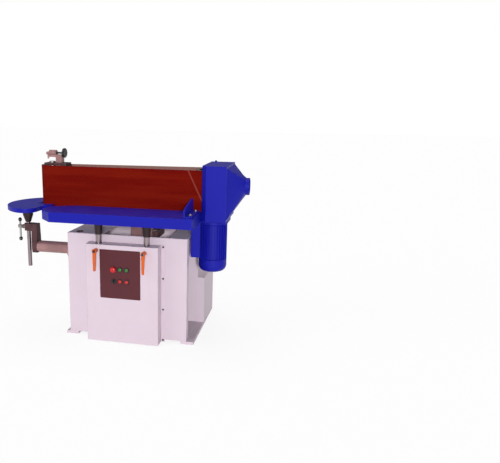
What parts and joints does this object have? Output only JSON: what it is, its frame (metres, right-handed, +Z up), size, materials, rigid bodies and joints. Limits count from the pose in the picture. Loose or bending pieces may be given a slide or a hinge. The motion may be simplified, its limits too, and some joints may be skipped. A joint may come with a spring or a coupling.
{
  "type": "edge belt sander",
  "caption": "Floor-standing edge sander: a wide upright abrasive belt behind a height-adjustable table, with a round end table, dust hood and oscillating belt head.",
  "frame": {"origin": "on the floor, midway between the four floor bolt holes of the foot rails", "axes": "+X along the belt towards the drive end, +Y to the back, +Z up"},
  "size_m": [1.451, 0.807, 1.113],
  "materials": {
    "cabinet_paint": "cream gloss enamel",
    "blue_paint": "deep blue gloss enamel",
    "panel_paint": "dark brown satin enamel",
    "bright_steel": "bright ground steel",
    "steel": "plain machined steel",
    "tube_steel": "dull brownish steel tube",
    "dark_casting": "dark iron casting",
    "black_steel": "black oxide",
    "orange_plastic": "orange moulded",
    "red_plastic": "red moulded",
    "green_plastic": "green moulded",
    "black_plastic": "black moulded",
    "grey_plastic": "grey moulded",
    "abrasive_cloth": "red brown coated abrasive cloth",
    "drum_rubber": "black moulded rubber",
    "drum_metal": "machined casting",
    "bronze": "bearing bronze"
  },
  "bodies": {
    "stand": {"left_foot_rail": "cabinet_paint", "right_foot_rail": "cabinet_paint", "cabinet_shell": "cabinet_paint", "cabinet_top": "cabinet_paint", "cabinet_floor": "cabinet_paint", "rear_box": "cabinet_paint", "control_box": "cabinet_paint", "cover_screws": "steel", "control_panel": "panel_paint", "switch_bodies": "grey_plastic", "contactors": "grey_plastic", "left_post_guide": "dark_casting", "right_post_guide": "dark_casting", "guide_bars": "bright_steel", "lower_guide_bracket": "dark_casting", "upper_guide_bracket": "dark_casting", "gearmotor": "blue_paint", "support_arm": "tube_steel", "clamp_bracket": "dark_casting"},
    "table": {"main_table": "blue_paint", "left_table_post": "bright_steel", "right_table_post": "bright_steel", "left_post_flange": "dark_casting", "right_post_flange": "dark_casting", "work_stop": "blue_paint", "stop_bolts": "steel", "dust_skirt": "blue_paint"},
    "left_lever": {"left_lever_spindle": "black_steel", "left_lever_grip": "orange_plastic"},
    "right_lever": {"right_lever_spindle": "black_steel", "right_lever_grip": "orange_plastic"},
    "emergency_stop": {"emergency_stop": "red_plastic"},
    "selector": {"selector_knob": "black_plastic"},
    "belt_start": {"belt_start_button": "green_plastic"},
    "belt_stop": {"belt_stop_button": "red_plastic"},
    "oscillation_start": {"oscillation_start_button": "green_plastic"},
    "oscillation_stop": {"oscillation_stop_button": "red_plastic"},
    "head": {"head_frame": "blue_paint", "platen": "steel", "abrasive_belt": "abrasive_cloth", "slide_block": "blue_paint", "slide_bushes": "bronze", "motor_housing": "blue_paint", "fan_cowl": "blue_paint", "terminal_box": "blue_paint", "dust_hood": "blue_paint", "dust_funnel": "blue_paint"},
    "drive_drum": {"drive_drum": "drum_metal", "drum_cover": "drum_rubber", "motor_shaft": "steel"},
    "idler_slide": {"idler_carriage": "dark_casting", "idler_axle": "steel", "tracking_bracket": "steel"},
    "idler_drum": {"idler_drum": "drum_metal"},
    "tracking_knob": {"tracking_knob": "black_plastic"},
    "eccentric": {"eccentric": "steel"},
    "end_table": {"end_table": "blue_paint", "end_post": "bright_steel"},
    "clamp_handle": {"clamp_screw": "steel", "clamp_grips": "black_plastic"}
  },
  "joints": [
    {"name": "table_lift", "type": "slide", "parent": "stand", "child": "table", "axis": [0, 0, 1], "range_m": [0, 0.15]},
    {"name": "left_lever_turn", "type": "hinge", "parent": "stand", "child": "left_lever", "pos_m": [-0.163, -0.42, 0.556], "axis": [0, 1, 0], "range_deg": [0, 90]},
    {"name": "right_lever_turn", "type": "hinge", "parent": "stand", "child": "right_lever", "pos_m": [0.126, -0.42, 0.556], "axis": [0, -1, 0], "range_deg": [0, 90]},
    {"name": "emergency_stop_press", "type": "slide", "parent": "stand", "child": "emergency_stop", "axis": [0, 1, 0], "range_m": [0, 0.003], "stiffness_N_per_m": 500},
    {"name": "selector_turn", "type": "hinge", "parent": "stand", "child": "selector", "pos_m": [-0.06, -0.41, 0.378], "axis": [0, -1, 0], "range_deg": [-45, 45]},
    {"name": "belt_start_press", "type": "slide", "parent": "stand", "child": "belt_start", "axis": [0, 1, 0], "range_m": [0, 0.003], "stiffness_N_per_m": 300},
    {"name": "belt_stop_press", "type": "slide", "parent": "stand", "child": "belt_stop", "axis": [0, 1, 0], "range_m": [0, 0.003], "stiffness_N_per_m": 300},
    {"name": "oscillation_start_press", "type": "slide", "parent": "stand", "child": "oscillation_start", "axis": [0, 1, 0], "range_m": [0, 0.003], "stiffness_N_per_m": 300},
    {"name": "oscillation_stop_press", "type": "slide", "parent": "stand", "child": "oscillation_stop", "axis": [0, 1, 0], "range_m": [0, 0.003], "stiffness_N_per_m": 300},
    {"name": "head_oscillation", "type": "slide", "parent": "stand", "child": "head", "axis": [0, 0, 1], "range_m": [0, 0.012]},
    {"name": "drum_spin", "type": "hinge", "parent": "head", "child": "drive_drum", "pos_m": [0.464, -0.116, 0.887], "axis": [0, 0, 1], "continuous": true},
    {"name": "belt_tension", "type": "slide", "parent": "head", "child": "idler_slide", "axis": [1, 0, 0], "range_m": [0, 0.012]},
    {"name": "idler_spin", "type": "hinge", "parent": "idler_slide", "child": "idler_drum", "pos_m": [-0.531, -0.158, 0.887], "axis": [0, 0, 1], "continuous": true},
    {"name": "tracking_turn", "type": "hinge", "parent": "idler_slide", "child": "tracking_knob", "pos_m": [-0.458, -0.158, 1.084], "axis": [1, 0, 0], "range_deg": [-360, 360]},
    {"name": "eccentric_spin", "type": "hinge", "parent": "stand", "child": "eccentric", "pos_m": [0.045, -0.23, 0.252], "axis": [0, 1, 0], "continuous": true},
    {"name": "end_table_lift", "type": "slide", "parent": "stand", "child": "end_table", "axis": [0, 0, 1], "range_m": [0, 0.08]},
    {"name": "clamp_turn", "type": "hinge", "parent": "stand", "child": "clamp_handle", "pos_m": [-0.707, -0.266, 0.64], "axis": [-1, 0, 0], "range_deg": [0, 120]}
  ],
  "couplings": [
    {"joint": "idler_spin", "follows": "drum_spin", "ratio": 1.6667}
  ]
}
